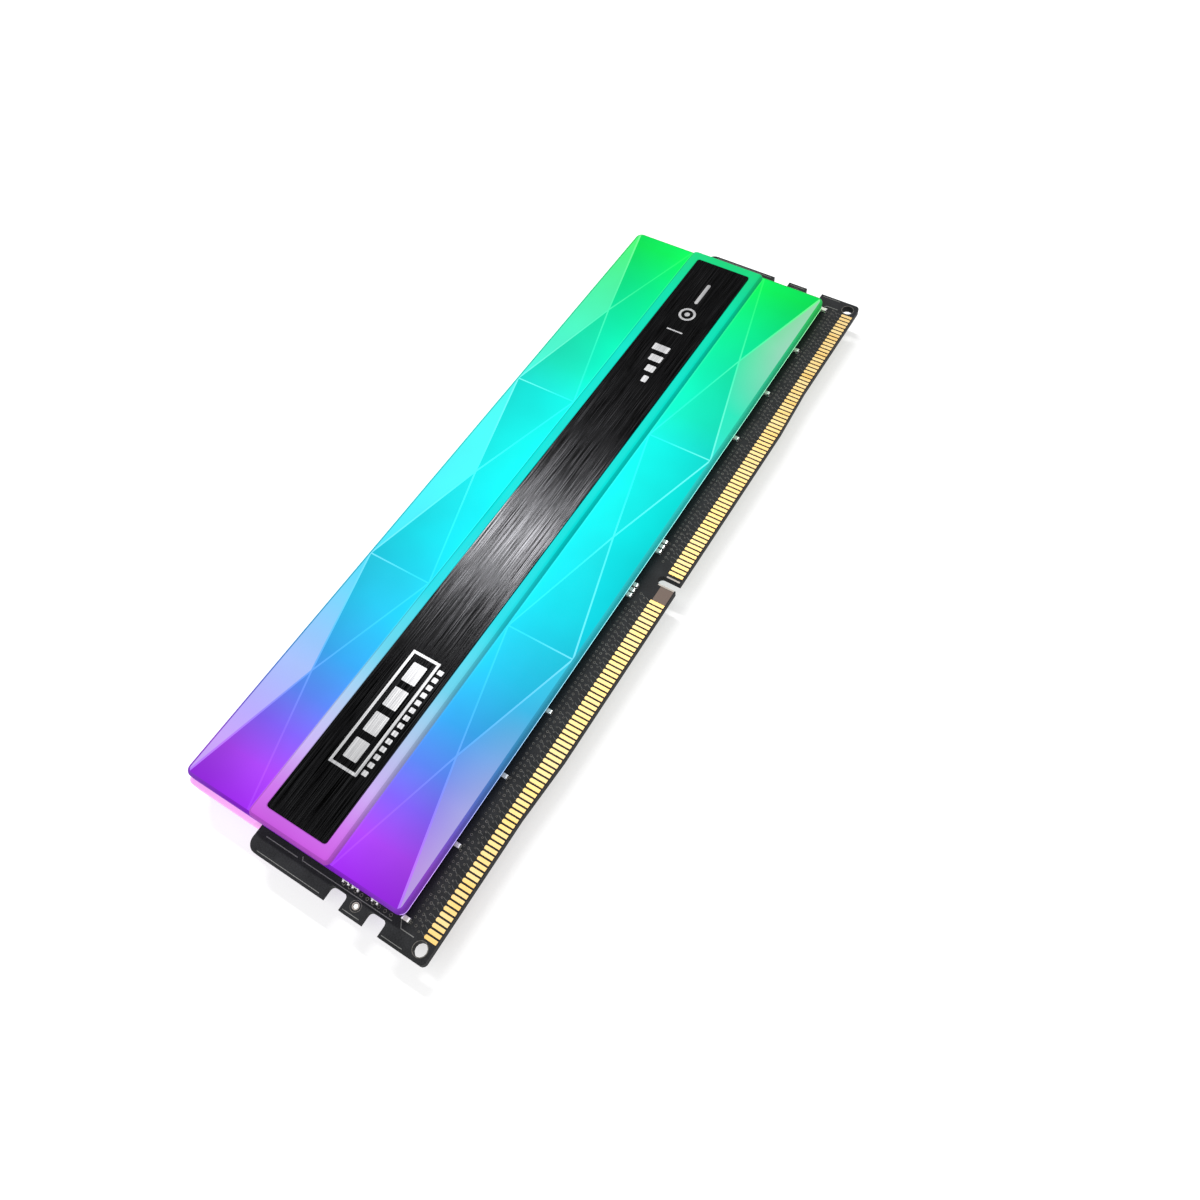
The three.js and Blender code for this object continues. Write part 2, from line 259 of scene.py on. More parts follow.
# ---- metals ----
def brushed_metal(name, base, streak, rough, aniso=0.6):
    """Metal brushed along X: long fine streaks in its tone, its gloss and its surface."""
    graph = Graph(name, Metallic=1.0, Anisotropic=aniso)
    fine = graph.noise(graph.scaled(65, 10500, 10500), 1.0, 3.0, 0.75)
    broad = graph.noise(graph.scaled(30, 3000, 3000), 1.0, 2.0, 0.5)
    patches = graph.spread(broad, 0.25, 0.75, 0.86, 1.0)
    streaks = graph.math("MULTIPLY", graph.spread(fine, 0.45, 0.66), patches)
    graph.colour(graph.blend(streaks, srgb(base), srgb(streak)))
    graph.roughness(graph.spread(fine, 0.3, 0.7, rough[0], rough[1]))
    graph.put(graph.add("ShaderNodeTangent", direction_type="UV_MAP", uv_map="across").outputs[0],
              graph.shader.inputs["Tangent"])
    graph.bump(fine, 0.12, 0.00002)
    return graph.material


def plated_gold():
    graph = Graph("plated_gold", Metallic=1.0)
    wear = graph.noise(graph.scaled(500, 90, 500), 1.0, 3.0, 0.6)
    graph.colour(graph.blend(graph.spread(wear, 0.3, 0.7), srgb("CCA65E"), srgb("DEC894")))
    graph.roughness(graph.spread(wear, 0.3, 0.7, 0.48, 0.64))
    graph.bump(graph.noise(graph.place(), 6000), 0.06, 0.00001)
    return graph.material


def solder_tin():
    graph = Graph("solder_tin", Metallic=1.0)
    tone = graph.noise(graph.place(), 1500, 3.0)
    graph.colour(graph.blend(tone, srgb("C8C8C6"), srgb("F6F6F2")))
    graph.roughness(graph.spread(tone, 0.3, 0.7, 0.28, 0.5))
    graph.bump(tone, 0.2, 0.00004)
    return graph.material


# ---- board, chips and soft parts ----
def speckled(name, dark, light, rough, grain, specular=0.3, bump=0.12):
    """A matt surface with a fine grain of two tones, such as solder mask, moulded resin or ferrite."""
    graph = Graph(name, Specular_IOR_Level=specular)
    fine = graph.noise(graph.place(), grain, 3.0, 0.7)
    patches = graph.noise(graph.place(), grain / 14, 2.0)
    mix = graph.math("ADD", graph.spread(fine, 0.35, 0.75, 0, 0.75), graph.spread(patches, 0.3, 0.7, 0, 0.25))
    graph.colour(graph.blend(mix, srgb(dark), srgb(light)))
    graph.roughness(graph.spread(fine, 0.3, 0.7, rough[0], rough[1]))
    graph.bump(fine, bump, 0.00003)
    return graph.material


def woven_laminate():
    """Bare glass-fibre laminate: a fine weave in a brown resin."""
    graph = Graph("bare_laminate", Specular_IOR_Level=0.4)
    weave = [
        graph.add("ShaderNodeTexWave", {"Vector": graph.place(), "Scale": 1600, "Distortion": 0.6},
                  bands_direction=direction).outputs["Fac"]
        for direction in ("X", "Y")
    ]
    crossing = graph.math("MULTIPLY", *weave)
    graph.colour(graph.blend(crossing, srgb("5E4C42"), srgb("7A665A")))
    graph.roughness(graph.spread(crossing, 0, 1, 0.55, 0.75))
    graph.bump(crossing, 0.2, 0.00003)
    return graph.material


MASK = speckled("solder_mask", "0E0F10", "333436", (0.5, 0.7), 5200, specular=0.12, bump=0.3)
MASK_EDGE = speckled("board_edge", "1E1E20", "3A3A3C", (0.5, 0.7), 7000, specular=0.25)
TRACE = speckled("masked_trace", "5C5C5A", "8C8C88", (0.35, 0.5), 5200, specular=0.3)
FINE_TRACE = speckled("fine_trace", "3C3C3C", "60605E", (0.4, 0.55), 5200, specular=0.2)
VIA_RING = speckled("via_ring", "2C2C2A", "8E8A84", (0.4, 0.55), 3000, specular=0.2)
VIA_BORE = speckled("via_bore", "070707", "101010", (0.5, 0.7), 5200)
LAMINATE_BROWN = woven_laminate()
LIP = speckled("milled_lip", "A49A90", "C6BEB4", (0.5, 0.7), 6000)
RESIN = speckled("chip_resin", "161718", "26272A", (0.5, 0.72), 7000, specular=0.35)
SUBSTRATE = speckled("chip_substrate", "123018", "1C4426", (0.4, 0.6), 4000)
FERRITE = speckled("inductor_ferrite", "3C3C40", "58585C", (0.5, 0.7), 5000)
# Near-white ceramic: partly the parts' own tone, partly a painted glint.
CERAMIC_AND_GLINT = speckled("part_ceramic_and_glint", "C8C2B8", "E2DED6", (0.4, 0.6), 5000)
LED_CASE_AND_GLINT = speckled("led_case_and_glint", "E4E4DC", "F8F8F2", (0.35, 0.5), 3000)
PAD_FOAM = speckled("thermal_pad_silicone", "7C868E", "9AA4AA", (0.8, 0.95), 2600, specular=0.2, bump=0.4)
GOLD = plated_gold()
TIN = solder_tin()
BRUSHED_BLACK = brushed_metal("brushed_black", "010101", "424244", (0.2, 0.3), aniso=0.8)
BRUSHED_SILVER = brushed_metal("brushed_silver", "9C9C9E", "DADADA", (0.36, 0.52))
ALUMINIUM = brushed_metal("spreader_aluminium", "A4A8AC", "C8CCD0", (0.32, 0.48), aniso=0.3)

GUIDE_FACET = lit_plastic("guide_facet", BAND_LIGHT, shade=(1.04, 0.74))
# The outer facets of the upper band, paler with a haze that is full towards the left end.
GUIDE_PALE = lit_plastic("guide_pale", BAND_LIGHT, shade=(1.0, 1.0), pale=(0.42, 0.42),
                          pale_along=pale_near_left)
GUIDE_HAZE = lit_plastic("guide_haze", BAND_LIGHT, shade=(1.0, 0.86), pale=(0.02, 0.56), pale_tone="CAC8DA",
                         pale_along=pale_near_ends)
# Creases glow brighter and paler than the facets: a painted highlight along the ridges.
GUIDE_CREASE_HIGHLIGHT = lit_plastic("guide_crease_painted_highlight", BAND_LIGHT, glow=0.74, shade=(1.02, 0.98), pale=(0.02, 0.2))
GUIDE_MARGIN = lit_plastic("guide_margin", MARGIN_LIGHT)
# The plateau's rounded walls glow dimmer than its top: painted shade.
GUIDE_WALL_SHADED = lit_plastic("guide_wall_painted_shade", MARGIN_LIGHT, glow=0.36)
# The guide's outer sides glow dimmer and greyer than the top: painted shade.
GUIDE_SIDE_SHADED = lit_plastic("guide_side_painted_shade", BAND_LIGHT, glow=0.42, shade=(0.8, 0.8), pale=(0.0, 0.14),
                         pale_tone="8890A0")
# The foot on the contact side glows bright and near white: a painted highlight.
GUIDE_RIM_HIGHLIGHT = lit_plastic("guide_rim_painted_highlight", BAND_LIGHT, glow=1.5, pale=(0.2, 0.34), pale_tone="FFFFFF")
# Facets that face a neighbouring cell glow a little dimmer: painted shade.
GUIDE_FLANK_SHADED = lit_plastic("guide_flank_painted_shade", BAND_LIGHT, shade=(0.98, 0.72))
GUIDE_INSIDE = lit_plastic("guide_inside", BAND_LIGHT, glow=0.3)
CORE_GLOW = lit_plastic("light_core_glow", CORE_LIGHT, glow=0.9)
GUIDE_MATERIALS = [GUIDE_FACET, GUIDE_PALE, GUIDE_HAZE, GUIDE_CREASE_HIGHLIGHT, GUIDE_MARGIN, GUIDE_WALL_SHADED, GUIDE_SIDE_SHADED,
                   GUIDE_RIM_HIGHLIGHT, GUIDE_FLANK_SHADED, GUIDE_INSIDE]
SLOT_OF = {material: index for index, material in enumerate(GUIDE_MATERIALS)}


# ---- outlines: lists of (x, y) points, anticlockwise ----
def arc(cx, cy, radius, start, steps=CORNER_STEPS, sweep=90):
    angles = [math.radians(start + sweep * i / steps) for i in range(steps + 1)]
    return [(cx + radius * math.cos(a), cy + radius * math.sin(a)) for a in angles]


def rounded_rectangle(x0, x1, y0, y1, radius, steps=CORNER_STEPS):
    """Four corner arcs, which leave a valid outline down to a radius of almost nothing."""
    r = max(radius, 0.001)
    return (arc(x0 + r, y0 + r, r, 180, steps) + arc(x1 - r, y0 + r, r, 270, steps)
            + arc(x1 - r, y1 - r, r, 0, steps) + arc(x0 + r, y1 - r, r, 90, steps))


def rectangle(x0, x1, y0, y1, radius, steps=CORNER_STEPS):
    """A function of the inset from this outline, for stack()."""
    def outline(inset):
        return rounded_rectangle(x0 + inset, x1 - inset, y0 + inset, y1 - inset, radius - inset, steps)

    return outline


def circle(cx, cy, radius, steps=20):
    return lambda inset: arc(cx, cy, radius - inset, 0, steps, 360)[:-1]


def footprint(low, high, radius, steps=CORNER_STEPS, inset=(0, 0)):
    """The rectangle that a box covers, with its sides moved in by the inset along X and along Y."""
    dx, dy = inset
    return rectangle(low.x + dx, high.x - dx, low.y + dy, high.y - dy, radius, steps)


def turns(total, steps, first=0):
    """Evenly spaced angles up to a total in degrees."""
    return [math.radians(total * i / steps) for i in range(first, steps + 1)]


# ---- mesh helpers ----
def ring(bm, points, z):
    return [bm.verts.new((x, y, z)) for x, y in points]


def bridge(bm, low, high, slot=0, smooth=False):
    for i in range(len(low)):
        j = (i + 1) % len(low)
        face = bm.faces.new((low[i], low[j], high[j], high[i]))
        face.material_index = slot
        face.smooth = smooth


def cap(bm, verts, slot=0):
    bm.faces.new(verts).material_index = slot


def stack(bm, outline, profile, slot=0, smooth=False):
    """A closed solid: the outline at each (inset, z) of the profile, bridged and capped at both ends."""
    rings = [ring(bm, outline(inset), z) for inset, z in profile]
    cap(bm, rings[0], slot)
    for low, high in zip(rings, rings[1:]):
        bridge(bm, low, high, slot, smooth)
    cap(bm, rings[-1], slot)


def slab(bm, outline, z0, z1, edge, slot=0):
    """A plate whose top and bottom edges are broken by a small chamfer."""
    stack(bm, outline, [(edge, z0), (0, z0 + edge), (0, z1 - edge), (edge, z1)], slot)


def washer(bm, cx, cy, inner, outer, z0, z1, slot, steps):
    """A flat ring with a rounded top, such as the copper round a plated hole."""
    middle = (inner + outer) / 2
    profile = [(inner, z0), (outer, z0), (middle, z1)]
    rings = [ring(bm, arc(cx, cy, radius, 0, steps, 360)[:-1], z) for radius, z in profile]
    for i in range(3):
        bridge(bm, rings[i], rings[(i + 1) % 3], slot, smooth=True)


def ribbon(bm, points, width, z0, z1, slot=0):
    """A thin raised strip of constant width along a line of points, mitred at its bends."""
    line = [Vector(p) for p in points]
    left, right = [], []
    for i, point in enumerate(line):
        steps = [(line[j + 1] - line[j]).normalized() for j in (i - 1, i) if 0 <= j < len(line) - 1]
        along = sum(steps, Vector((0, 0))).normalized()
        across = Vector((-along.y, along.x)) * (width / 2) / max(along.dot(steps[0]), 0.3)
        left.append(point + across)
        right.append(point - across)
    outline = left + right[::-1]
    low, high = ring(bm, outline, z0), ring(bm, outline, z1)
    bridge(bm, low, high, slot)
    for i in range(len(line) - 1):
        j = len(outline) - 1 - i
        for level in (low, high):
            cap(bm, (level[i], level[i + 1], level[j - 1], level[j]), slot)


def map_across(mesh):
    """A UV map whose U runs along Y, across the brushing of the brushed metal."""
    layer = mesh.uv_layers.new(name="across")
    for loop in mesh.loops:
        place = mesh.vertices[loop.vertex_index].co
        layer.data[loop.index].uv = (place.y / MM, place.x / MM)


def add_piece(name, bm, materials, nodes=(), placing=TURNED["front"]):
    """Ends a mesh: its faces point out, it is in metres in the shared frame, and it rides on the module."""
    bm.transform(placing)
    bmesh.ops.recalc_face_normals(bm, faces=bm.faces)
    mesh = bpy.data.meshes.new(name)
    bm.to_mesh(mesh)
    bm.free()
    mesh.transform(TO_METRES)
    for material in materials:
        mesh.materials.append(material)
    map_across(mesh)
    piece = bpy.data.objects.new(name, mesh)
    bpy.context.collection.objects.link(piece)
    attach(piece, "root")
    if nodes:
        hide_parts(*nodes)


# ---- light guides ----
class Corner:
    """A corner of a faceted cell: its points in anticlockwise order, and how the crease meets them."""

    def __init__(self, before, middle, after):
        self.before, self.middle, self.after = before, middle, after

    def outer(self):
        """Every point once, in order."""
        return self.before[:-1] + self.middle + self.after[1:]


DIRECTIONS = [((0, -1), (1, 0)), ((1, 0), (0, 1)), ((0, 1), (-1, 0)), ((-1, 0), (0, -1))]


def cell_corners(x0, x1, y0, y1, rounded):
    """The four corners of a cell from its lower left one, those listed in rounded with an arc."""
    width, height = x1 - x0, y1 - y0
    diagonal = math.hypot(width, height)
    # How far the crease reaches from the corner, along X if True and along Y if False.
    shift = {True: CREASE / 2 * diagonal / height, False: CREASE / 2 * diagonal / width}
    corners = []
    for k, (x, y) in enumerate([(x0, y0), (x1, y0), (x1, y1), (x0, y1)]):
        (ax, ay), (bx, by) = DIRECTIONS[k]
        if k in rounded:
            r = GUIDE["radius"] - GUIDE["edge"]
            points = arc(x + (bx - ax) * r, y + (by - ay) * r, r, 180 + 90 * k)
            third = CORNER_STEPS // 3
            corners.append(Corner(points[:third + 1], points[third:-third], points[-third - 1:]))
        else:
            before = (x - ax * shift[ax != 0], y - ay * shift[ax != 0])
            after = (x + bx * shift[bx != 0], y + by * shift[bx != 0])
            corners.append(Corner([before], [before, (x, y), after], [after]))
    return corners


def add_cell(bm, rim, corners, x0, x1, y0, y1, materials):
    """Four facets rising to one apex, with narrow creases between them that carry a painted highlight."""
    cx, cy = (x0 + x1) / 2, (y0 + y1) / 2
    half_width, half_height = (x1 - x0) / 2, (y1 - y0) / 2
    diagonal = math.hypot(half_width, half_height)
    peaks = []
    for dx, dy in [(0, -1), (1, 0), (0, 1), (-1, 0)]:
        reach, across = (half_height, half_width) if dy else (half_width, half_height)
        shift = CREASE / 2 * diagonal / across
        z = GUIDE_HIGH.z - (GUIDE_HIGH.z - GUIDE["rim"]) * shift / reach
        peaks.append(bm.verts.new((cx + dx * shift, cy + dy * shift, z)))
    for k in range(4):
        base = rim.along(corners[k].after + corners[(k + 1) % 4].before)
        for a, b in zip(base, base[1:]):
            cap(bm, (a, b, peaks[k]), SLOT_OF[materials[k]])
        cap(bm, rim.along(corners[k].middle) + [peaks[k], peaks[k - 1]], SLOT_OF[GUIDE_CREASE_HIGHLIGHT])
    cap(bm, peaks, SLOT_OF[GUIDE_CREASE_HIGHLIGHT])


class RimVerts:
    """The vertices at the height of the rim, each made once and found again by its place."""

    def __init__(self, bm):
        self.bm = bm
        self.known = {}

    def at(self, point):
        key = (round(point[0], 4), round(point[1], 4))
        if key not in self.known:
            self.known[key] = self.bm.verts.new((point[0], point[1], GUIDE["rim"]))
        return self.known[key]

    def along(self, points):
        return [self.at(point) for point in points]


def rounded_corners(upper, i):
    """Which corners of cell i are corners of the whole light guide."""
    return {0: [3 if upper else 0], CELLS - 1: [2 if upper else 1]}.get(i, [])


def facet_materials(upper, i):
    """The materials of the facets of cell i, anticlockwise from the one towards the contacts."""
    at_left, at_right = i == 0, i == CELLS - 1
    lower_facet = GUIDE_HAZE if (at_left or at_right) and not upper else GUIDE_FACET
    upper_facet = GUIDE_PALE if upper else GUIDE_FACET
    # Facets beside a neighbouring cell take the material with painted shade.
    right_facet = GUIDE_FACET if at_right else GUIDE_FLANK_SHADED
    left_facet = GUIDE_FACET if at_left else GUIDE_FLANK_SHADED
    return [lower_facet, right_facet, upper_facet, left_facet]


def add_band(bm, rim, y0, y1, upper):
    """A row of faceted cells with a strip of crease between neighbours. Gives the corners of its cells."""
    length = 2 * RIM_HALF / CELLS
    row = []
    for i in range(CELLS):
        x0 = -RIM_HALF + i * length + (VALLEY / 2 if i else 0)
        x1 = -RIM_HALF + (i + 1) * length - (VALLEY / 2 if i < CELLS - 1 else 0)
        row.append(cell_corners(x0, x1, y0, y1, rounded_corners(upper, i)))
        add_cell(bm, rim, row[i], x0, x1, y0, y1, facet_materials(upper, i))
    for left, right in zip(row, row[1:]):
        strip = [left[1].middle[1], right[0].middle[1], right[0].before[0], right[3].after[0],
                 right[3].middle[1], left[2].middle[1], left[2].before[0], left[1].after[0]]
        cap(bm, rim.along(strip), SLOT_OF[GUIDE_CREASE_HIGHLIGHT])
    return row


def middle_outline(lower, upper):
    """The outline of the flat strip between the two bands, which the plateau covers."""
    points = []
    for c in lower:
        points += [c[3].middle[1], c[3].before[0], c[2].after[0], c[2].middle[1]]
    for c in reversed(upper):
        points += [c[1].middle[1], c[1].before[0], c[0].after[0], c[0].middle[1]]
    return points


def rim_outline(lower, upper):
    """The outline round both bands, anticlockwise from the lower left corner."""
    last = CELLS - 1
    points = []
    for i, c in enumerate(lower):
        points += c[0].outer() if i == 0 else c[0].middle[1:]
        points += c[1].outer() if i == last else c[1].middle[:2]
    points += lower[-1][2].middle[:2] + upper[-1][1].middle[1:]
    for i, c in reversed(list(enumerate(upper))):
        points += c[2].outer() if i == last else c[2].middle[1:]
        points += c[3].outer() if i == 0 else c[3].middle[:2]
    return points + upper[0][0].middle[:2] + lower[0][3].middle[1:]


def pushed_out(point, distance):
    """A point of the rim moved straight out of the outline by that distance."""
    radius = GUIDE["radius"] - GUIDE["edge"]
    core_x, core_y = RIM_HALF - radius, RIM_HIGH - radius - GUIDE_MIDDLE
    x, y = point[0], point[1] - GUIDE_MIDDLE
    nearest = Vector((max(-core_x, min(core_x, x)), max(-core_y, min(core_y, y))))
    out = (Vector((x, y)) - nearest).normalized() * distance
    return (point[0] + out.x, point[1] + out.y)


def side_levels():
    """The side and the pocket from the rim down: distance out, height, material, and whether it is smooth."""
    edge, foot, bottom = GUIDE["edge"], GUIDE["foot"], GUIDE_LOW.z
    # The rounding and the side take the material with painted shade.
    rounding = [(edge * math.sin(a), GUIDE["rim"] - edge * (1 - math.cos(a)), GUIDE_SIDE_SHADED, True)
                for a in turns(90, CORNER_STEPS, 1)]
    return rounding + [
        (edge, bottom + foot + GUIDE["glow"], GUIDE_SIDE_SHADED, False),
        # The band above the foot, the foot and the bottom carry a painted highlight.
        (edge, bottom + foot, GUIDE_RIM_HIGHLIGHT, False),
        (edge - foot, bottom, GUIDE_RIM_HIGHLIGHT, False),
        (edge - GUIDE["wall"], bottom, GUIDE_RIM_HIGHLIGHT, False),
        (edge - GUIDE["wall"], GUIDE["ceiling"], GUIDE_INSIDE, False),
    ]


def keep_painted_highlight_on_contact_side(bm):
    """Gives the foot of the other three sides the side material with its painted shade, so that the painted
    highlight stays on the contact side.
    """
    for face in bm.faces:
        face.normal_update()
        if face.material_index == SLOT_OF[GUIDE_RIM_HIGHLIGHT] and face.normal.y > -0.5:
            face.material_index = SLOT_OF[GUIDE_SIDE_SHADED]


def tray_mesh():
    """The light guide without its plateau: faceted top, rounded rim, side wall, and the pocket below."""
    bm = bmesh.new()
    rim = RimVerts(bm)
    inner = PLATEAU["half"] + PLATEAU["groove"]
    lower = add_band(bm, rim, RIM_LOW, GUIDE_MIDDLE - inner, upper=False)
    upper = add_band(bm, rim, GUIDE_MIDDLE + inner, RIM_HIGH, upper=True)
    cap(bm, rim.along(middle_outline(lower, upper)), SLOT_OF[GUIDE_CREASE_HIGHLIGHT])
    outline = rim_outline(lower, upper)
    previous = rim.along(outline)
    for distance, z, material, smooth in side_levels():
        following = ring(bm, [pushed_out(p, distance) for p in outline], z)
        bridge(bm, following, previous, SLOT_OF[material], smooth)
        previous = following
    cap(bm, previous, SLOT_OF[GUIDE_INSIDE])
    keep_painted_highlight_on_contact_side(bm)
    return bm


def plateau_mesh():
    """The raised middle of the light guide, with the recess that the trim strip lies in."""
    bm = bmesh.new()
    y0, y1 = GUIDE_MIDDLE - PLATEAU["half"], GUIDE_MIDDLE + PLATEAU["half"]
    outline = rectangle(GUIDE_LOW.x, GUIDE_HIGH.x, y0, y1, PLATEAU["radius"])
    rise = PLATEAU["top"] - GUIDE["rim"]
    # The foot and the rounded wall take the material with painted shade.
    rings = [(ring(bm, outline(0), PLATEAU["foot"]), GUIDE_WALL_SHADED, False)]
    for i, a in enumerate(turns(90, CORNER_STEPS)):
        points = outline(PLATEAU["inset"] * (1 - math.cos(a)))
        material = GUIDE_WALL_SHADED if i < CORNER_STEPS - 1 else GUIDE_MARGIN
        rings.append((ring(bm, points, GUIDE["rim"] + rise * math.sin(a)), material, True))
    clearance, chamfer = RECESS["clearance"], RECESS["chamfer"]
    recess = footprint(TRIM_LOW, TRIM_HIGH, RECESS["radius"], inset=(-clearance, -clearance))
    profile = [(-chamfer, PLATEAU["top"]), (0, PLATEAU["top"] - chamfer), (0, RECESS["floor"])]
    for inset, z in profile:
        rings.append((ring(bm, recess(inset), z), GUIDE_MARGIN, False))
    cap(bm, rings[0][0], SLOT_OF[GUIDE_WALL_SHADED])
    for (low, _, _), (high, material, smooth) in zip(rings, rings[1:]):
        bridge(bm, low, high, SLOT_OF[material], smooth)
    cap(bm, rings[-1][0], SLOT_OF[GUIDE_MARGIN])
    return bm


def joined(first, second):
    """Two closed bmeshes made into one closed bmesh."""
    objects = []
    for bm in (first, second):
        bmesh.ops.recalc_face_normals(bm, faces=bm.faces)
        mesh = bpy.data.meshes.new("joining")
        bm.to_mesh(mesh)
        bm.free()
        for material in GUIDE_MATERIALS:
            mesh.materials.append(material)
        objects.append(bpy.data.objects.new("joining", mesh))
        bpy.context.collection.objects.link(objects[-1])
    modifier = objects[0].modifiers.new("union", "BOOLEAN")
    modifier.operation, modifier.solver, modifier.object = "UNION", "EXACT", objects[1]
    bpy.context.view_layer.update()
    result = bmesh.new()
    result.from_object(objects[0], bpy.context.evaluated_depsgraph_get())
    for obj in objects:
        bpy.data.meshes.remove(obj.data)
    return result


def add_light_guides():
    for face in FACES:
        bm = joined(tray_mesh(), plateau_mesh())
        add_piece(f"light_guide_{face}_lit", bm, GUIDE_MATERIALS, [f"light_guide_{face}"],
                  TURNED[face])


CORE = {"corner": 1.0, "rounding": 0.3, "steps": 4}


def add_light_core():
    bm = bmesh.new()
    edge = CORE["rounding"]
    lower = [(edge * (1 - math.sin(a)), CORE_LOW.z + edge * (1 - math.cos(a)))
             for a in turns(90, CORE["steps"])]
    upper = [(inset, -z) for inset, z in reversed(lower)]
    stack(bm, footprint(CORE_LOW, CORE_HIGH, CORE["corner"]), lower + upper, smooth=True)
    add_piece("light_core_lit", bm, [CORE_GLOW], ["light_core"])


# ---- trim strips and their plain marks ----
TRIM = {"corner": 0.5, "edge": 0.06}
MARK = {"rise": 0.015, "edge": 0.004}
# Places are measured from the lower left corner of each mark.
MODULE_MARK = {"x": -51.5, "y": 22.6, "width": 20.0, "height": 5.0, "line": 0.45}
MARK_CHIPS = {"count": 4, "first": 1.6, "pitch": 4.5, "width": 3.3, "margin": 1.3}
MARK_CONTACTS = {"count": 14, "first": 0.7, "pitch": 1.36, "width": 0.8, "low": -1.2, "high": -0.3}
LEVEL_MARK = {"x": 29.8, "y": 24.1, "height": 3.1}
MARK_BARS = {"count": 4, "pitch": 2.5, "width": 1.5, "shortest": 1.0, "step": 0.7}
MARK_DIVIDER = {"x": 12.9, "width": 0.3}
MARK_RING = {"x": 17.6, "inner": 1.1, "outer": 1.55, "dot": 0.5, "steps": 32}
MARK_DASH = {"low": 20.6, "high": 26.0, "half": 0.35, "corner": 0.34}


def add_trim_strips():
    outline = footprint(TRIM_LOW, TRIM_HIGH, TRIM["corner"])
    for face in FACES:
        bm = bmesh.new()
        slab(bm, outline, TRIM_LOW.z, TRIM_HIGH.z, TRIM["edge"])
        add_piece(f"trim_strip_{face}_brushed", bm, [BRUSHED_BLACK], [f"trim_strip_{face}"],
                  TURNED[face])


def add_mark_plate(bm, outline):
    """One thin plate of a mark, on the trim strip."""
    slab(bm, outline, TRIM_HIGH.z, TRIM_HIGH.z + MARK["rise"], MARK["edge"])


def add_mark_ring(bm, cx, cy):
    """A flat ring of the marks, with straight walls."""
    rings = [
        ring(bm, circle(cx, cy, MARK_RING[edge], MARK_RING["steps"])(0), TRIM_HIGH.z + rise)
        for edge, rise in (("inner", 0), ("outer", 0), ("outer", MARK["rise"]), ("inner", MARK["rise"]))
    ]
    for low, high in zip(rings, rings[1:] + rings[:1]):
        bridge(bm, low, high)


def add_module_mark(bm):
    """A plain picture of a memory module: an outline, four chips in it, and a row of contacts."""
    x0, y0, line = MODULE_MARK["x"], MODULE_MARK["y"], MODULE_MARK["line"]
    x1, y1 = x0 + MODULE_MARK["width"], y0 + MODULE_MARK["height"]
    for low in (y0, y1 - line):
        add_mark_plate(bm, rectangle(x0, x1, low, low + line, 0.1, 2))
    for left in (x0, x1 - line):
        add_mark_plate(bm, rectangle(left, left + line, y0 + line, y1 - line, 0.02, 2))
    for i in range(MARK_CHIPS["count"]):
        left, margin = x0 + MARK_CHIPS["first"] + i * MARK_CHIPS["pitch"], MARK_CHIPS["margin"]
        add_mark_plate(bm, rectangle(left, left + MARK_CHIPS["width"], y0 + margin, y1 - margin, 0.15, 2))
    low, high = y0 + MARK_CONTACTS["low"], y0 + MARK_CONTACTS["high"]
    for i in range(MARK_CONTACTS["count"]):
        left = x0 + MARK_CONTACTS["first"] + i * MARK_CONTACTS["pitch"]
        add_mark_plate(bm, rectangle(left, left + MARK_CONTACTS["width"], low, high, 0.1, 2))


def add_level_mark(bm):
    """Four rising bars, a divider, and a ring with a dot beside a short bar."""
    x0, y0 = LEVEL_MARK["x"], LEVEL_MARK["y"]
    for i in range(MARK_BARS["count"]):
        left, height = x0 + i * MARK_BARS["pitch"], MARK_BARS["shortest"] + i * MARK_BARS["step"]
        add_mark_plate(bm, rectangle(left, left + MARK_BARS["width"], y0, y0 + height, 0.15, 2))
    left = x0 + MARK_DIVIDER["x"]
    add_mark_plate(bm, rectangle(left, left + MARK_DIVIDER["width"], y0, y0 + LEVEL_MARK["height"], 0.05, 2))
    cx, cy = x0 + MARK_RING["x"], y0 + LEVEL_MARK["height"] / 2
    add_mark_ring(bm, cx, cy)
    add_mark_plate(bm, circle(cx, cy, MARK_RING["dot"]))
    low, high, half = x0 + MARK_DASH["low"], x0 + MARK_DASH["high"], MARK_DASH["half"]
    add_mark_plate(bm, rectangle(low, high, cy - half, cy + half, MARK_DASH["corner"], 4))


def add_marks():
    for face in FACES:
        bm = bmesh.new()
        add_module_mark(bm)
        add_level_mark(bm)
        add_piece(f"plain_marks_{face}", bm, [BRUSHED_SILVER], placing=TURNED[face])


# ---- circuit board ----
# merge: distance. flat and sharp: angles in degrees of edges that are dissolved and chamfered.
BOARD = {"merge": 0.002, "flat": 2, "sharp": 40, "chamfer": 0.1}
COPPER = 0.02
CONTACT = {"pitch": 0.85, "width": 0.6, "radius": 0.22, "bevel": 0.02}
# The contact edge is low up to flat from the middle, and rises to its full height at end.
EDGE_STEP = {"rise": 0.5, "flat": 34.0, "end": 44.0, "margin": 0.15}
HOLE = {"x": 65.0, "y": 2.15, "radius": 1.0, "land": 0.14, "rise": 0.03}
TAB_HOLE = {"x": 65.05, "y": 12.85, "radius": 0.35, "land": 0.2, "rise": 0.05}
TAB_RING = {"inner": 0.74, "outer": 0.86, "rise": 0.025}
TAB_PLUG = {"gap": 0.01, "low": 0.2, "high": 0.02, "edge": 0.03}
# Each row of vias: its height, and the outer and inner radius of its lands.
VIA_ROWS = [(4.42, 0.23, 0.12), (3.62, 0.17, 0.08), (5.15, 0.21, 0.11)]
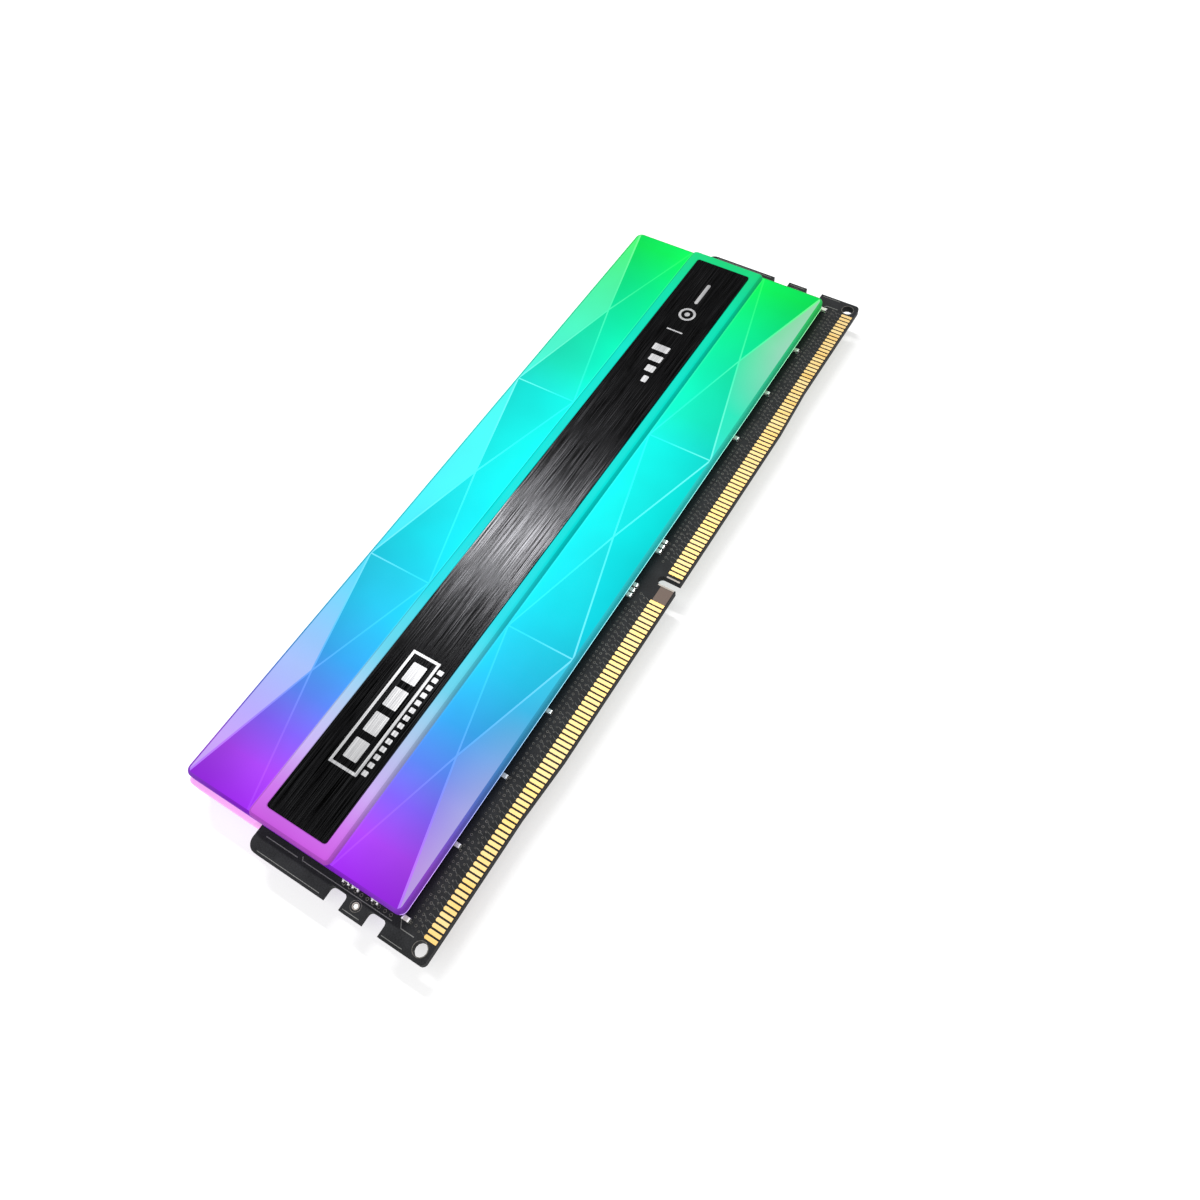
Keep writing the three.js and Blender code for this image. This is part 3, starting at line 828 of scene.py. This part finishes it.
# Vias keep clear of the key, each row by a little more, and one in every cycle is left out.
VIA = {"clear": 2.0, "cycle": 17, "row_shift": 5, "wander": 0.08}
END_VIAS = {"x": 63.5, "low": 8.1, "count": 9, "pitch": 1.0, "outer": 0.3, "inner": 0.13}
CONTACT_TRACE = {"clear": 3.0, "low": 2.6, "bend": 2.95, "high": 3.42, "width": 0.09}
TRACE_LEANS = (0.28, 0.28, 0.14, 0.14)
VIA_TRACE = {"x": 0.42, "low": 3.8, "high": 4.2, "width": 0.08}
# Traces along the ends: a width, and points whose X is measured outwards from the middle of the module.
END_TRACES = [
    (0.12, [(64.05, 23.9), (64.05, 29.6)]),
    (0.12, [(64.05, 7.5), (64.05, 23.0)]),
    (0.11, [(63.15, 6.6), (64.23, 5.9), (64.23, 3.75)]),
    (0.12, [(64.05, 23.0), (63.55, 23.3)]),
    (0.09, [(66.25, 4.2), (66.25, 7.6)]),
    (0.09, [(66.25, 11.4), (66.25, 14.2)]),
    (0.09, [(66.25, 18.2), (66.25, 29.4)]),
]
KEY = {"x": -1.4, "half": 0.75}
LAMINATE = {"left": -5.2, "gap": 0.35, "low": 0.17, "high": 2.42}
LIPS = {"near": 0.02, "far": 0.3, "left_top": 3.0, "right_top": 2.5, "rise": 0.03, "edge": 0.01}


def contact_edge(x):
    """Height of the contact edge: level in the middle, a slope, and level again at the ends."""
    along = (abs(x) - EDGE_STEP["flat"]) / (EDGE_STEP["end"] - EDGE_STEP["flat"])
    return EDGE_STEP["rise"] * max(0.0, min(1.0, along))


def contact_places(side):
    """The middle of each contact in one row, worked out from that row's CAD solid."""
    low, high = box_mm(f"contacts_front_{side}")
    count = round((high.x - low.x - CONTACT["width"]) / CONTACT["pitch"]) + 1
    return [low.x + CONTACT["width"] / 2 + i * CONTACT["pitch"] for i in range(count)]


def contact_outline(x, top):
    """A contact with square corners at the board's edge and round ones at its top, for stack()."""
    half, bottom = CONTACT["width"] / 2, contact_edge(x) + EDGE_STEP["margin"]

    def outline(inset):
        r = CONTACT["radius"] - inset
        left, right, high = x - half + inset, x + half - inset, top - inset
        return ([(left, bottom + inset), (right, bottom + inset)]
                + arc(right - r, high - r, r, 0, 5) + arc(left + r, high - r, r, 90, 5))

    return outline


def add_contacts():
    edge = CONTACT["bevel"]
    for side in SIDES:
        low, high = box_mm(f"contacts_front_{side}")
        for face in FACES:
            bm = bmesh.new()
            for x in contact_places(side):
                stack(bm, contact_outline(x, high.y), [(0, low.z), (0, high.z - edge), (edge, high.z)])
            add_piece(f"contacts_{face}_{side}_plated", bm, [GOLD], [f"contacts_{face}_{side}"],
                      MIRRORED[face])


def add_board():
    """A copy of the CAD board with its sharp edges chamfered. The chamfers show the cut edge's material."""
    bm = bmesh.new()
    bm.from_mesh(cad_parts["circuit_board"].data)
    bm.transform(TO_METRES.inverted())
    bmesh.ops.remove_doubles(bm, verts=bm.verts, dist=BOARD["merge"])
    flat, sharp = math.radians(BOARD["flat"]), math.radians(BOARD["sharp"])
    bmesh.ops.dissolve_limit(bm, angle_limit=flat, verts=bm.verts, edges=bm.edges)
    for face in bm.faces:
        face.smooth = False
        face.material_index = 0
    edges = [e for e in bm.edges if len(e.link_faces) == 2 and e.calc_face_angle() > sharp]
    bmesh.ops.bevel(bm, geom=edges, offset=BOARD["chamfer"], segments=2, profile=0.5, affect="EDGES",
                    material=1, clamp_overlap=True)
    add_piece("circuit_board_masked", bm, [MASK, MASK_EDGE], ["circuit_board"])


def add_board_detail(name, draw, materials):
    """The same detail on both faces of the board. draw() makes it for the front."""
    for face in FACES:
        bm = bmesh.new()
        draw(bm)
        add_piece(f"{name}_{face}", bm, materials, placing=MIRRORED[face])


def draw_hole_lands(bm):
    """Lands round the corner holes, and a land, a ring and a tin plug at the hole in each end tab."""
    for end in ENDS:
        inner, outer = HOLE["radius"], HOLE["radius"] + HOLE["land"]
        washer(bm, end * HOLE["x"], HOLE["y"], inner, outer, FACE, FACE + HOLE["rise"], 0, 28)
        x, y, radius = end * TAB_HOLE["x"], TAB_HOLE["y"], TAB_HOLE["radius"]
        washer(bm, x, y, radius, radius + TAB_HOLE["land"], FACE, FACE + TAB_HOLE["rise"], 1, 20)
        washer(bm, x, y, TAB_RING["inner"], TAB_RING["outer"], FACE, FACE + TAB_RING["rise"], 0, 24)
        plug = circle(x, y, radius - TAB_PLUG["gap"])
        slab(bm, plug, FACE - TAB_PLUG["low"], FACE - TAB_PLUG["high"], TAB_PLUG["edge"], 2)


def add_via(bm, x, y, outer, inner, steps):
    """A via's land round its dark bore."""
    washer(bm, x, y, inner, outer, FACE, FACE + COPPER, 0, steps)
    stack(bm, circle(x, y, inner, 8), [(0, FACE), (0, FACE + COPPER / 3)], 1)


def draw_vias(bm):
    """Rows of vias above the contacts, and a column at each end."""
    for row, (y, outer, inner) in enumerate(VIA_ROWS):
        clear = VIA["clear"] * (1 + row)
        shift = 0.0 if row == 1 else CONTACT["pitch"] / 2
        for side in SIDES:
            for i, x in enumerate(contact_places(side)):
                left_out = (i + VIA["row_shift"] * row) % VIA["cycle"] == VIA["cycle"] - 1
                if left_out or abs(x - KEY["x"]) < clear:
                    continue
                wander = VIA["wander"] * noise.noise(Vector((x, y, 0)))
                add_via(bm, x + shift + wander, y, outer, inner, 10)
    for end in ENDS:
        for i in range(END_VIAS["count"]):
            y = END_VIAS["low"] + i * END_VIAS["pitch"]
            add_via(bm, end * END_VIAS["x"], y, END_VIAS["outer"], END_VIAS["inner"], 12)


def draw_traces(bm):
    """Short traces from the contacts to their vias, and the lines along the ends."""
    low, bend, high = CONTACT_TRACE["low"], CONTACT_TRACE["bend"], CONTACT_TRACE["high"]
    top = FACE + COPPER
    for side in SIDES:
        for i, x in enumerate(contact_places(side)):
            if abs(x - KEY["x"]) < CONTACT_TRACE["clear"]:
                continue
            foot = x + TRACE_LEANS[i % len(TRACE_LEANS)]
            ribbon(bm, [(x, low), (x, bend), (foot, high)], CONTACT_TRACE["width"], FACE, top, 1)
            if i % 3:
                points = [(foot, VIA_TRACE["low"]), (x + VIA_TRACE["x"], VIA_TRACE["high"])]
                ribbon(bm, points, VIA_TRACE["width"], FACE, top, 1)
    for end in ENDS:
        for width, points in END_TRACES:
            ribbon(bm, [(end * x, y) for x, y in points], width, FACE, top)


def draw_key_details(bm):
    """The window of bare laminate beside the key slot, and the pale milled lips of the slot."""
    left, right = KEY["x"] - KEY["half"], KEY["x"] + KEY["half"]
    low, near, far = LAMINATE["low"], LIPS["near"], LIPS["far"]
    plates = [
        (rectangle(LAMINATE["left"], left - LAMINATE["gap"], low, LAMINATE["high"], 0.1, 3), 0),
        (rectangle(left - far, left - near, low, LIPS["left_top"], 0.12, 3), 1),
        (rectangle(right + near, right + far, low, LIPS["right_top"], 0.12, 3), 1),
    ]
    for outline, slot in plates:
        slab(bm, outline, FACE, FACE + LIPS["rise"], LIPS["edge"], slot)


# ---- soldered parts ----
BALLS = {"pitch": 0.8, "inset": 0.5, "radius": 0.224, "squash": 0.03, "columns": 3}
CHIP = {"corner": 0.1, "substrate": 0.18, "edge": 0.02, "bevel": 0.06}
PIN_MARK = {"inset": 0.7, "radius": 0.3, "low": 0.02, "high": 0.004}
INDUCTOR = {"side": 0.12, "corner": 0.4, "tab": 0.5, "tab_margin": 1.0, "tab_height": 0.4}
CHIP_PART = {"cap": 0.32, "proud": 0.02, "waist": 0.1, "fillet": 0.06}
LED = {"lens": 0.55, "tab": 0.3, "tab_margin": 0.2, "tab_reach": 0.1}
PAD = {"corner": 0.5, "bulge": 0.3, "steps": 8}
SPREADER = {"corner": 1.0, "edge": 0.08}


def numbered(prefix):
    return sorted(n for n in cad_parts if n.startswith(prefix) and n[len(prefix):].isdigit())


def lifted(node):
    """The node's box as it lies on the front face, and the placing that takes it to its own face."""
    low, high = box_mm(node)
    if high.z > 0:
        return low, high, TURNED["front"]
    return Vector((-high.x, low.y, -high.z)), Vector((-low.x, high.y, -low.z)), TURNED["back"]


def add_solder(bm, low, high, slot):
    """Flattened solder balls between a chip and the board, in the outer columns of a grid."""
    pitch, inset, squash = BALLS["pitch"], BALLS["inset"], BALLS["squash"]
    columns = int((high.x - low.x - 2 * inset) / pitch) + 1
    rows = int((high.y - low.y - 2 * inset) / pitch) + 1
    x0 = (low.x + high.x - (columns - 1) * pitch) / 2
    y0 = (low.y + high.y - (rows - 1) * pitch) / 2
    profile = [(squash, FACE), (0, (FACE + low.z) / 2), (squash, low.z)]
    for i in range(columns):
        for j in range(rows):
            if min(i, columns - 1 - i) < BALLS["columns"]:
                stack(bm, circle(x0 + i * pitch, y0 + j * pitch, BALLS["radius"], 8), profile, slot)


def add_chip(node):
    """A moulded chip on its thin substrate, with solder balls below and a pin mark in one corner."""
    low, high, placing = lifted(node)
    bm = bmesh.new()
    outline = footprint(low, high, CHIP["corner"], 2)
    edge, bevel, middle = CHIP["edge"], CHIP["bevel"], low.z + CHIP["substrate"]
    slab(bm, outline, low.z, middle, edge, 1)
    stack(bm, outline, [(edge, middle), (edge, high.z - bevel), (edge + bevel, high.z)], 0)
    mark = circle(low.x + PIN_MARK["inset"], high.y - PIN_MARK["inset"], PIN_MARK["radius"], 16)
    stack(bm, mark, [(0, high.z - PIN_MARK["low"]), (0, high.z + PIN_MARK["high"])], 2)
    add_solder(bm, low, high, 3)
    add_piece(f"{node}_moulded", bm, [RESIN, SUBSTRATE, LIP, TIN], [node], placing)


def add_inductor(node):
    """A moulded ferrite block with a soldered tab at each side."""
    low, high, placing = lifted(node)
    bm = bmesh.new()
    tab, margin = INDUCTOR["tab"], INDUCTOR["tab_margin"]
    outline = footprint(low, high, INDUCTOR["corner"], 4, (INDUCTOR["side"], 0))
    profile = [(0.06, low.z), (0, low.z + 0.06), (0, high.z - 0.2), (0.06, high.z - 0.06), (0.2, high.z)]
    stack(bm, outline, profile, 0)
    for x0, x1 in ((low.x, low.x + tab), (high.x - tab, high.x)):
        foot = rectangle(x0, x1, low.y + margin, high.y - margin, 0.05, 2)
        slab(bm, foot, FACE, low.z + INDUCTOR["tab_height"], 0.03, 1)
    add_piece(f"{node}_moulded", bm, [FERRITE, TIN], [node], placing)


def add_chip_part(node, body, land):
    """A capacitor or resistor with plated ends, on solder that spreads by land past its sides."""
    low, high, placing = lifted(node)
    bm = bmesh.new()
    length, proud, fillet = CHIP_PART["cap"], CHIP_PART["proud"], CHIP_PART["fillet"]
    middle = footprint(low, high, 0.04, 2, (proud, CHIP_PART["waist"]))
    slab(bm, middle, low.z + proud, high.z - proud, 0.03, 0)
    for y0, y1 in ((low.y, low.y + length), (high.y - length, high.y)):
        slab(bm, rectangle(low.x, high.x, y0, y1, 0.06, 2), low.z, high.z, 0.04, 1)
        solder = rectangle(low.x - land, high.x + land, y0 - fillet, y1 + fillet, 0.1, 2)
        stack(bm, solder, [(0, FACE), (0.02, FACE + 0.04), (0.1, FACE + 0.16)], 1)
    add_piece(f"{node}_capped", bm, [body, TIN], [node], placing)


def add_led(node):
    """An LED package: a white case round a lens window, with solder tabs."""
    low, high, placing = lifted(node)
    bm = bmesh.new()
    slab(bm, footprint(low, high, 0.1, 3), low.z, high.z - 0.05, 0.04, 0)
    lens = circle((low.x + high.x) / 2, (low.y + high.y) / 2, LED["lens"], 20)
    stack(bm, lens, [(0, high.z - 0.08), (0, high.z - 0.04), (0.1, high.z)], 1, True)
    tab, margin, reach = LED["tab"], LED["tab_margin"], LED["tab_reach"]
    for x0, x1 in ((low.x - reach, low.x + tab), (high.x - tab, high.x + reach)):
        foot = rectangle(x0, x1, low.y + margin, high.y - margin, 0.04, 2)
        slab(bm, foot, FACE, low.z + 0.2, 0.02, 2)
    add_piece(f"{node}_cased", bm, [LED_CASE_AND_GLINT, CORE_GLOW, TIN], [node], placing)


def add_thermal_pad(node):
    """A soft pad with pressed, rounded edges."""
    low, high, placing = lifted(node)
    bm = bmesh.new()
    middle, half = (low.z + high.z) / 2, (high.z - low.z) / 2
    bulge = (high.z - low.z) * PAD["bulge"]
    profile = [(bulge * (1 - math.sin(a)), middle - half * math.cos(a)) for a in turns(180, PAD["steps"])]
    stack(bm, footprint(low, high, PAD["corner"], 4), profile, 0, True)
    add_piece(f"{node}_soft", bm, [PAD_FOAM], [node], placing)


def add_spreader(face):
    """A pressed aluminium plate with rounded edges."""
    bm = bmesh.new()
    outline = footprint(SPREADER_LOW, SPREADER_HIGH, SPREADER["corner"])
    slab(bm, outline, SPREADER_LOW.z, SPREADER_HIGH.z, SPREADER["edge"])
    add_piece(f"heat_spreader_{face}_pressed", bm, [ALUMINIUM], [f"heat_spreader_{face}"],
              TURNED[face])


def add_soldered_parts():
    chips = numbered("dram_chip_") + ["power_management_chip", "spd_hub_chip", "led_controller_chip"]
    for node in chips:
        add_chip(node)
    for node in numbered("power_inductor_"):
        add_inductor(node)
    # The end resistors take the near-white LED case material as a painted glint; the pale ceramic is partly
    # one too.
    small_parts = [("edge_capacitor_", CERAMIC_AND_GLINT, 0.02), ("middle_resistor_", CERAMIC_AND_GLINT, 0.02),
                   ("end_resistor_", LED_CASE_AND_GLINT, 0.3)]
    for prefix, body, land in small_parts:
        for node in numbered(prefix):
            add_chip_part(node, body, land)
    for face in FACES:
        for node in numbered(f"rgb_led_{face}_"):
            add_led(node)
        for side in SIDES:
            add_thermal_pad(f"thermal_pad_{face}_{side}")
        add_spreader(face)
    add_thermal_pad("thermal_pad_power")


# ---- stage ----
CAMERA = {"place": (-70.24, -60.58, 135.30), "turn": (30.425, 3.636, -58.311), "lens": 29.63}
FLOOR = {"half": 3.0, "drop": 0.0002, "glow": 0.62}
SKY = 0.38
# Each lamp: its name, place and target in metres, the sides of its rectangle, and its power in watts.
LAMPS = [
    ("overhead", (-0.32, 0.15, 0.8), (-0.1, 0, 0), (0.55, 0.7), 3.0),
    ("highlight", (0.36, 0.38, 0.75), (0, 0, 0), (0.05, 0.5), 6.4),
]


def add_camera():
    camera = bpy.data.objects.new("camera", bpy.data.cameras.new("camera"))
    camera.location = Vector(CAMERA["place"]) * MM
    camera.rotation_euler = Euler([math.radians(a) for a in CAMERA["turn"]])
    camera.data.lens = CAMERA["lens"]
    camera.data.clip_start, camera.data.clip_end = 0.01, 20
    bpy.context.collection.objects.link(camera)
    bpy.context.scene.camera = camera


def add_floor():
    graph = Graph("pale_floor", Specular_IOR_Level=0.2, Emission_Strength=FLOOR["glow"],
                  Emission_Color=(1, 1, 1, 1))
    tone = graph.noise(graph.place(), 30)
    graph.colour(graph.blend(tone, srgb("B4B4B4"), srgb("BABABA")))
    graph.roughness(graph.spread(tone, 0, 1, 0.85, 0.95))
    mesh = bpy.data.meshes.new("floor")
    corners = [(-1, -1), (1, -1), (1, 1), (-1, 1)]
    half, z = FLOOR["half"], cad_low.z - FLOOR["drop"]
    mesh.from_pydata([(x * half, y * half, z) for x, y in corners], [], [range(4)])
    mesh.materials.append(graph.material)
    floor = bpy.data.objects.new("floor", mesh)
    bpy.context.collection.objects.link(floor)


def add_softbox(name, place, target, size, power):
    """A rectangular lamp that faces the target, the second side of its size along Y."""
    lamp = bpy.data.lights.new(name, "AREA")
    lamp.shape = "RECTANGLE"
    lamp.size, lamp.size_y = size
    lamp.energy = power
    softbox = bpy.data.objects.new(name, lamp)
    softbox.location = place
    back = (Vector(place) - Vector(target)).normalized()
    across = Vector((0, 1, 0)).cross(back).normalized()
    softbox.rotation_euler = Matrix((across, back.cross(across), back)).transposed().to_euler()
    bpy.context.collection.objects.link(softbox)


def add_lights():
    world = bpy.data.worlds.new("studio")
    world.use_nodes = True
    background = world.node_tree.nodes["Background"]
    background.inputs["Color"].default_value = (1, 1, 1, 1)
    background.inputs["Strength"].default_value = SKY
    bpy.context.scene.world = world
    for lamp in LAMPS:
        add_softbox(*lamp)
    bpy.context.scene.view_settings.view_transform = "Standard"


add_camera()
add_floor()
add_lights()
add_light_guides()
add_light_core()
add_trim_strips()
add_marks()
add_board()
add_contacts()
add_board_detail("hole_lands", draw_hole_lands, [VIA_RING, LIP, TIN])
add_board_detail("vias", draw_vias, [VIA_RING, VIA_BORE])
add_board_detail("traces", draw_traces, [TRACE, FINE_TRACE])
add_board_detail("key_window", draw_key_details, [LAMINATE_BROWN, LIP])
add_soldered_parts()
